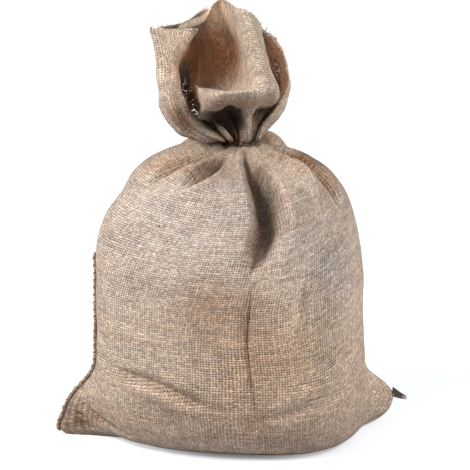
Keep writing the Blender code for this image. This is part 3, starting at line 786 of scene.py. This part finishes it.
# Painted shade and painted light on the collar: shade at the bowl's edge, under the flap, on the limb and at
# the neck; warm light in the bowl and the slots, and light on the rim, the lip and the right limb.
COLLAR_PAINTED_LIGHT_AND_SHADE = (
    # name, x, y, z, wide, deep, high, colour, and an edge other than 1
    ("bowl", -30, 24, 508, 40, 50, 36, (1.36, 1.00, 0.79), 3),
    ("bowl edge", 2, 8, 500, 9, 40, 30, (0.76, 0.64, 0.54), 2),
    ("bowl top", -18, 22, 562, 22, 50, 26, (1.45, 1.32, 1.22)),
    ("rim top", -20, 24, 578, 24, 50, 24, (2.00, 1.85, 1.72)),
    ("lip", -2, -82, 474, 44, 14, 6, (1.16, 1.15, 1.13)),
    ("flap shade", 5, -76, 452, 64, 24, 13, (0.64, 0.47, 0.36)),
    ("under flap", -12, 0, 427, 30, 30, 20, (0.30, 0.20, 0.14)),
    ("flap corner", 34, 5, 431, 16, 20, 17, (0.36, 0.28, 0.22), 2),
    ("limb inner", -72, -42, 488, 9, 16, 50, (0.76, 0.63, 0.53)),
    ("limb low", -66, -38, 432, 20, 26, 24, (0.37, 0.25, 0.19)),
    ("left slot", -60, 34, 448, 14, 34, 46, (1.00, 0.76, 0.60)),
    ("flap side", -51, 0, 455, 9, 30, 38, (1.60, 1.36, 1.20)),
    ("right slot", 52, 34, 495, 12, 26, 40, (1.66, 1.28, 1.06)),
    ("right limb", 70, 10, 480, 14, 30, 40, (1.32, 1.28, 1.28)),
    ("neck", -2, -12, 400, 28, 30, 12, (0.34, 0.24, 0.17)),
)
BEHIND = 20  # y beyond which a patch leaves out the outside of the collar's back

# Where the cloth's wall is single and light comes through its open weave.
THIN = (
    # name, x, y, z, wide, deep, high
    ("left slot", -62, 46, 456, 18, 40, 52),
    ("left slot low", -46, 24, 434, 14, 34, 26),
    ("right slot", 56, 46, 488, 14, 34, 30),
)
THIN_EDGE = 2


def soft_tube(points, radius, sides, start):
    """Points and faces of a closed tube along a line, numbered from start."""
    points = np.asarray(points, float)
    radius = np.broadcast_to(np.asarray(radius, float), len(points))
    tangent = unit(np.gradient(points, axis=0))
    guide = (0.31, 0.22, 0.92) if abs(tangent[0][2]) < 0.9 else (0.95, 0.2, 0.1)
    side = unit(np.cross(tangent, guide))
    other = np.cross(tangent, side)
    turn = np.arange(sides) / sides * 2 * math.pi
    ring = side[:, None] * np.cos(turn)[None, :, None] + other[:, None] * np.sin(turn)[None, :, None]
    vertices = (points[:, None] + ring * radius[:, None, None]).reshape(-1, 3)
    return vertices, tube_faces(len(points), sides, start)


def place_strands(name, strands, sides, material):
    """One piece from many tubes, each a line of points in table millimetres and a radius."""
    points, faces, count = [], [], 0
    for line, radius in strands:
        more, joined = soft_tube(line, radius, sides, count)
        points.append(more)
        faces += joined
        count += len(more)
    mesh = bpy.data.meshes.new(name)
    mesh.from_pydata([tuple(p) for p in metres(np.concatenate(points))], [], faces)
    mesh.shade_smooth()
    return place(mesh, name, material)


def make_body(angles, across, material):
    down = np.linspace(body_lengths()[-1], 0, BODY_ROWS + 1)
    rows = body_surface(angles, down)
    along = weave_along(angles, down)
    collar = collar_surface(column_ribs(), COLLAR_ROWS)
    rows[-1] = collar[0]
    rows = np.concatenate([rows, (collar[:1] + collar[1:2]) / 2])
    along = np.concatenate([along, along[-1:] - TIED_LENGTH])
    mesh = cloth_mesh("sack_body", rows, across, along)
    beside = np.linalg.norm(rows - rows[:, :1], axis=2)
    shaded = smooth(1 - beside / SEAM_SHADE_REACH) * smooth((SEAM_TOP - rows[:, :, 2]) / SEAM_SHADE_START)
    # stains, painted shade and painted light from the table, and painted shade beside the seam
    paint(mesh, "tone_and_painted_light", tints(rows, PATCHES) * (1 - SEAM_SHADE * shaded)[..., None])
    piece = place(mesh, "sack_body", material)
    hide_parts("sack")
    return rows


def make_collar(across, material):
    ribs = column_ribs()
    grid = collar_surface(ribs, COLLAR_ROWS)
    grid[0] = (grid[0] + grid[1]) / 2
    inside = grid - normals(grid) * WALL
    lining = inside[LINING_ROWS:][::-1]
    rows = np.concatenate([grid, lining])
    steps = np.linalg.norm(np.diff(grid, axis=0), axis=2)
    paths = -np.concatenate([np.zeros((1, len(ribs))), np.cumsum(steps, axis=0)]) * MM
    along = np.concatenate([paths, paths[LINING_ROWS:][::-1]])
    mesh = cloth_mesh("sack_collar", rows, across, along)
    # painted shade and light; the outside of the back takes only the patches in front of BEHIND
    tone_and_painted_light = tints(rows, COLLAR_PAINTED_LIGHT_AND_SHADE)
    shown = [row for row in COLLAR_PAINTED_LIGHT_AND_SHADE if row[2] < BEHIND]
    tone_and_painted_light[: len(grid), FRONT_COLUMNS:] = tints(grid[:, FRONT_COLUMNS:], shown)
    paint(mesh, "tone_and_painted_light", tone_and_painted_light)
    paint(mesh, "thin", sum(within(rows, row, THIN_EDGE) for row in THIN))
    piece = place(mesh, "sack_collar", material)
    return grid


# The seam: a lip of cloth with stitches of thread over it.
SEAM_STEPS = 12  # of its line for each stitch
SEAM_SUNK = 1.3  # how far the lip's inner side lies in the body
SEAM_SHADE, SEAM_SHADE_REACH, SEAM_SHADE_START = 0.50, 6.5, 12  # how much darker the cloth is beside it
LIP_SIDES = 14
LIP_OUT, LIP_THICK = SEAM_OUT - 0.3, SEAM_THICK - 0.9
LIP_NIP, LIP_NIP_REACH = 0.10, 2.0  # how much a stitch pulls the lip in, and over how many steps
LIP_RIPPLES = ((0.07, 0.37, 0), (0.05, 0.91, 1))  # share, turn for each step, start
LIP_END, LIP_END_STEPS = 0.4, 6  # share of its size at its ends, and over how many steps it grows
LIP_WEAVE = 0.014  # metres of cloth round the lip
# The lip's colour: painted shade on its inner side, lighter outwards.
LIP_DARK, LIP_LIGHT, LIP_COLOUR = 0.40, 0.62, (1.0, 0.96, 0.93)
LIP_GROWS, LIP_STARTS = 1.6, 0.5  # how fast its painted shade gives way to light, from its inner side outwards
STITCH_POINTS = 15
STITCH_STEPS = 9  # how far a stitch leans along the seam
STITCH_SWING = 128  # degrees to each side of straight out
STITCH_TIGHT = 0.97
STITCH_RADII = (0.5, 0.2)  # least, and how much more by chance


def edge_line(rows):
    """Points down the body's left edge, close together, with the directions outwards and across."""
    body = rows[: BODY_ROWS + 1]
    edge = body[:, 0][::-1]
    out = normals(body)[:, 0][::-1]
    along = path_lengths(edge)
    start, end = (np.interp(-height, -edge[:, 2], along) for height in (SEAM_TOP, SEAM_END))
    where = np.linspace(start, end, round((end - start) / STITCH * SEAM_STEPS) + 1)
    points = read_along(where, along, edge)
    tangent = unit(np.gradient(points, axis=0))
    across = unit(np.cross(tangent, read_along(where, along, out)))
    return points, unit(np.cross(across, tangent)), across


def make_seam(rows, material, thread):
    points, outward, across = edge_line(rows)
    turn = np.arange(LIP_SIDES) / LIP_SIDES * 2 * math.pi
    rings = []
    for k, (point, out, side) in enumerate(zip(points, outward, across)):
        stitch = 1 - LIP_NIP * math.exp(-(((k % SEAM_STEPS) - SEAM_STEPS / 2) / LIP_NIP_REACH) ** 2)
        ends = smooth(min(k, len(points) - 1 - k) / LIP_END_STEPS) * (1 - LIP_END) + LIP_END
        ripple = sum((share * math.sin(k * step + start) for share, step, start in LIP_RIPPLES), start=1)
        reach = (LIP_OUT + SEAM_SUNK) / 2 * (1 + np.cos(turn) * ends * stitch * ripple) - SEAM_SUNK
        wide = LIP_THICK / 2 * ends * stitch * np.sin(turn)
        rings.append(point + out * reach[:, None] + side * wide[:, None])
    rings = np.array(rings)
    weave = np.linspace(0, LIP_WEAVE, LIP_SIDES + 1)
    along = np.repeat((np.arange(len(rings)) * STITCH / SEAM_STEPS * MM)[:, None], LIP_SIDES, 1)
    mesh = cloth_mesh("seam_lip", rings, weave, along)
    # painted shade on the lip's inner side, lighter outwards
    outer = smooth(np.tile(0.5 + 0.5 * np.cos(turn), len(rings)) * LIP_GROWS - LIP_STARTS)
    paint(mesh, "tone_and_painted_light", (LIP_DARK + LIP_LIGHT * outer)[:, None] * np.array(LIP_COLOUR))
    lip = place(mesh, "seam_lip", material)
    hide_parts("side_seam")

    draw = random.Random(5)
    stitches = []
    for k in range(SEAM_STEPS // 2, len(points) - SEAM_STEPS, SEAM_STEPS):
        line = []
        for step in range(STITCH_POINTS):
            t = step / (STITCH_POINTS - 1)
            at = min(len(points) - 1, k + round(t * STITCH_STEPS))
            swing = math.radians(STITCH_SWING * (2 * t - 1))
            out = SEAM_OUT / 2 * (1 + math.cos(swing)) * STITCH_TIGHT
            wide = SEAM_THICK / 2 * STITCH_TIGHT * math.sin(swing)
            line.append(points[at] + outward[at] * out + across[at] * wide)
        stitches.append((line, STITCH_RADII[0] + STITCH_RADII[1] * draw.random()))
    place_strands("seam_stitches", stitches, 6, thread)


# The twine: strands wound round its path.
STRANDS, STRAND_AWAY, STRAND_RADIUS = 3, 0.80, 0.86
STRAND_PITCH = 8.0  # along the twine for one turn
STRAND_STEP = 0.8  # along the twine from one point to the next
TWINE_POINTS = 120


def twisted(path):
    path = np.asarray(path, float)
    along = path_lengths(path)
    fine = np.linspace(0, along[-1], round(along[-1] / STRAND_STEP))
    centre = read_along(fine, along, path)
    tangent = unit(np.gradient(centre, axis=0))
    side = unit(np.cross(tangent, (0.1, 0.15, 0.98)))
    other = np.cross(side, tangent)
    lines = []
    for strand in range(STRANDS):
        turn = fine / STRAND_PITCH * 2 * math.pi + strand / STRANDS * 2 * math.pi
        away = side * np.cos(turn)[:, None] + other * np.sin(turn)[:, None]
        lines.append((centre + STRAND_AWAY * away, STRAND_RADIUS))
    return lines


def make_tie(material):
    middle, wide, deep = neck_size()
    height = (TIED_FROM + TIED_TO) / 2
    away = GAP + TWINE / 2
    turn = np.radians(np.linspace(TWINE_START, TWINE_START - TWINE_TURN, TWINE_POINTS))
    loop = [(middle - (wide + away) * math.cos(a), -(deep + away) * math.sin(a), height) for a in turn]
    x, y, z = loop[-1]
    end = [(x + right, y - forward, z + up) for right, forward, up in FREE_END]
    piece = place_strands("tie_twine", twisted(loop + end), 6, material)
    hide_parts("neck_tie")


# The frayed ends at the right ear.
TAIL_ROOT = (-1.2, 0, 4.5)  # from the ear's tip
TAIL_LENGTH, TAIL_BACK, TAIL_FALL = 19.0, 1.5, 9.5
TAIL_OPEN, TAIL_CLOSES = 7.0, 3.4  # how wide the tuft is at its root, and how much less at its end
TAIL_TURN = 0.8
TAIL_POINTS = 9
TAIL_LENGTHS, TAIL_RADII = (0.6, 1.05), (0.75, 0.25)
TAIL_THREADS = (
    # name, how many, and the shares of the width between which they lie
    ("tail_threads", 20, 0.65, 1.0),
    ("tail_pale_threads", 18, 0.1, 0.85),
)

# Loose ends of warp at the cut rim.
FRAY_COUNT = 110
FRAY_ROOT = 0.8  # share of the way up to the rim from three rows below it
FRAY_LEANS = ((0, 0.5), (0, 0.5), (0.1, 0.4))  # mean and spread in x, y and z
FRAY_LENGTHS, FRAY_RADII = (1.2, 4.6), (0.42, 0.16)
THREAD_POINTS = 6


def make_tail(rows, dark, light):
    """Dark threads above and below, with paler ones between them."""
    edge = rows[: BODY_ROWS + 1, FRONT_COLUMNS]
    root = edge[np.argmax(edge[:, 0])] + np.array(TAIL_ROOT)
    draw = random.Random(11)
    for (name, count, least, most), material in zip(TAIL_THREADS, (dark, light)):
        strands = []
        for _ in range(count):
            turn = draw.uniform(0, 2 * math.pi)
            spread = draw.uniform(least, most)
            length = draw.uniform(*TAIL_LENGTHS)
            line = []
            for step in range(TAIL_POINTS):
                t = step / (TAIL_POINTS - 1)
                wide = (TAIL_OPEN - TAIL_CLOSES * t) * spread
                twist = turn + TAIL_TURN * t
                back = TAIL_BACK * t + wide * 0.5 * math.cos(twist)
                up = -TAIL_FALL * t * length + wide * math.sin(twist)
                line.append(root + np.array([TAIL_LENGTH * length * t, back, up]))
            strands.append((line, np.linspace(*TAIL_RADII, TAIL_POINTS)))
        piece = place_strands(name, strands, 5, material)
        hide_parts("seam_tail")


def make_fray(grid, material):
    draw = random.Random(23)
    rim, below = grid[-1], grid[-4]
    steps = np.linspace(0, 1, THREAD_POINTS)
    strands = []
    for _ in range(FRAY_COUNT):
        k = draw.randrange(len(rim))
        root = rim[k] * FRAY_ROOT + below[k] * (1 - FRAY_ROOT)
        up = unit(rim[k] - below[k])
        lean = np.array([draw.gauss(*row) for row in FRAY_LEANS])
        length = draw.uniform(*FRAY_LENGTHS)
        line = [root + (up * t + lean * t * t) * length for t in steps]
        strands.append((line, np.linspace(*FRAY_RADII, THREAD_POINTS)))
    place_strands("rim_fray", strands, 4, material)


def make_slubs(body, material):
    """Knots and thick places in the thread that show as dark specks on the front, and one stray end."""
    draw = random.Random(31)
    slubs = [row[1:] for row in SLUBS]
    for start, end, count in DOTS:
        start, end = np.array(start), np.array(end)
        for k in range(count):
            at = start + (end - start) * k / count
            slubs.append((*at, draw.uniform(*DOT_LENGTHS), draw.uniform(*DOT_RADII)))
    strands = []
    for x, y, z, long, thick in slubs:
        _, spot, out, _ = body.closest_point_on_mesh(metres((x, y, z)))
        spot, out = np.array(spot) / MM + np.array(MIDDLE), np.array(out)
        side = np.cross((0, 0, 1), out)
        side /= np.linalg.norm(side)
        line = [spot + side * (t - 0.5) * long + out * SLUB_OUT for t in np.linspace(0, 1, len(SLUB_SHAPE))]
        strands.append((line, thick * np.array(SLUB_SHAPE)))
    leaves, goes, bends = np.array(STRAY)
    line = [leaves + goes * t + bends * t * t for t in np.linspace(0, 1, THREAD_POINTS)]
    strands.append((line, np.linspace(*STRAY_RADII, THREAD_POINTS)))
    place_strands("slubs", strands, 6, material)


# Studio. The sky is this bright to the sack, and white to the camera.
SKY, SKY_COLOUR = 0.34, (0.90, 0.95, 1.0, 1)
WHITE = (1, 1, 1, 1)
FLOOR_SIDE, FLOOR_COLOUR = 9, (0.56, 0.58, 0.62, 1)
FLOOR_GLOW = (0.5, 1.8, 0.56, 0.85)  # a ramp of its glow to the camera, by metres from the sack
CONTACT_AT, CONTACT_SIZE = (0.017, 0.0), (0.140, 0.135)  # the painted shadow where the sack meets the floor
CONTACT_GLOW = (0.74, 1.14, 0.25, 1.0)  # a ramp of the glow that is left there, out from its middle
LAMPS = (
    # name, place, size, watts
    ("key", (-1.7, -1.1, 1.9), 0.9, 72.0),
    ("fill", (1.8, -0.8, 1.7), 0.9, 42.0),
)
LAMP_AIM = (0, 0, 0.28)


def make_sky(scene):
    world = bpy.data.worlds.new("studio")
    scene.world = world
    world.use_nodes = True
    nodes, links = world.node_tree.nodes, world.node_tree.links
    sky, white = nodes["Background"], nodes.new("ShaderNodeBackground")
    sky.inputs["Color"].default_value, sky.inputs["Strength"].default_value = SKY_COLOUR, SKY
    white.inputs["Color"].default_value = WHITE
    pick = nodes.new("ShaderNodeMixShader")
    links.new(nodes.new("ShaderNodeLightPath").outputs["Is Camera Ray"], pick.inputs[0])
    links.new(sky.outputs[0], pick.inputs[1])
    links.new(white.outputs[0], pick.inputs[2])
    links.new(pick.outputs[0], nodes["World Output"].inputs[0])


def make_floor(scene):
    """A floor that glows a little to the camera, and less in a soft patch where the sack meets it: a painted
    shadow.
    """
    floor = bpy.data.meshes.new("floor")
    corners = [(x * FLOOR_SIDE, y * FLOOR_SIDE, 0) for x, y in ((-1, -1), (1, -1), (1, 1), (-1, 1))]
    floor.from_pydata(corners, [], [(0, 1, 2, 3)])
    piece = bpy.data.objects.new("floor", floor)
    scene.collection.objects.link(piece)
    net = Net("floor")
    net.shader.inputs["Emission Color"].default_value = WHITE
    spot = net.node("TexCoord")["Object"]
    shift = [-at / wide for at, wide in zip(CONTACT_AT, CONTACT_SIZE)] + [0]
    under = net.node("Mapping", spot, shift, None, [1 / wide for wide in CONTACT_SIZE] + [1])[0]
    glow = net.times(net.ramp(net.length(spot), *FLOOR_GLOW), net.ramp(net.length(under), *CONTACT_GLOW))
    net.put(net.shader.inputs["Emission Strength"], net.times(net.node("LightPath")["Is Camera Ray"], glow))
    floor.materials.append(net.finish(FLOOR_COLOUR, roughness=0.9))


def make_lamp(scene, name, spot, size, power):
    lamp = bpy.data.lights.new(name, "AREA")
    lamp.size, lamp.energy = size, power
    light = bpy.data.objects.new(name, lamp)
    light.location = spot
    away = np.array(spot) - LAMP_AIM
    flat = math.hypot(away[0], away[1])
    light.rotation_euler = (math.atan2(flat, away[2]), 0, math.atan2(away[0], -away[1]))
    scene.collection.objects.link(light)


def make_camera(scene):
    lens = bpy.data.cameras.new("camera")
    lens.angle = 2 * math.atan(SPAN / 2 / DISTANCE)
    camera = bpy.data.objects.new("camera", lens)
    x, y, z = LOOK_AT
    camera.location = (x, y - DISTANCE * math.cos(ELEVATION), z + DISTANCE * math.sin(ELEVATION))
    camera.rotation_euler = (math.pi / 2 - ELEVATION, 0, 0)
    scene.collection.objects.link(camera)
    scene.camera = camera


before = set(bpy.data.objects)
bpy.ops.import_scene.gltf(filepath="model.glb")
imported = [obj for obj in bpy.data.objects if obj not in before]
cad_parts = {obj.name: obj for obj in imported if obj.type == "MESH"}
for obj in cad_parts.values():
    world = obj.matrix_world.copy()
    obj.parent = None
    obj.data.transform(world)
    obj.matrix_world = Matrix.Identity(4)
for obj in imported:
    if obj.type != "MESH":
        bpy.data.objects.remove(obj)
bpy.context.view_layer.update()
angles = column_angles()
across = weave_across(angles)
cloth = hessian("hessian_cloth", open_weave=False)
collar_cloth = hessian("hessian_collar", open_weave=True)
thread = plain_jute("overcast_thread", (0.42, 0.30, 0.20), (0.16, 0.10, 0.06), 900.0)
jute = plain_jute("jute_twine", (0.27, 0.18, 0.12), (0.10, 0.06, 0.04), 900.0)
ends = plain_jute("thread_ends", (0.40, 0.30, 0.20), (0.16, 0.11, 0.07), 700.0)
slub = plain_jute("slub_jute", (0.20, 0.13, 0.09), (0.08, 0.05, 0.03), 900.0)
body_rows = make_body(angles, across, cloth)
collar_rows = make_collar(across, collar_cloth)
make_seam(body_rows, cloth, thread)
make_tie(jute)
make_tail(body_rows, slub, ends)
make_fray(collar_rows, ends)
make_slubs(bpy.data.objects["sack_body"], slub)
scene = bpy.context.scene
scene.view_settings.view_transform = "Standard"
make_sky(scene)
make_floor(scene)
for row in LAMPS:
    make_lamp(scene, *row)
make_camera(scene)
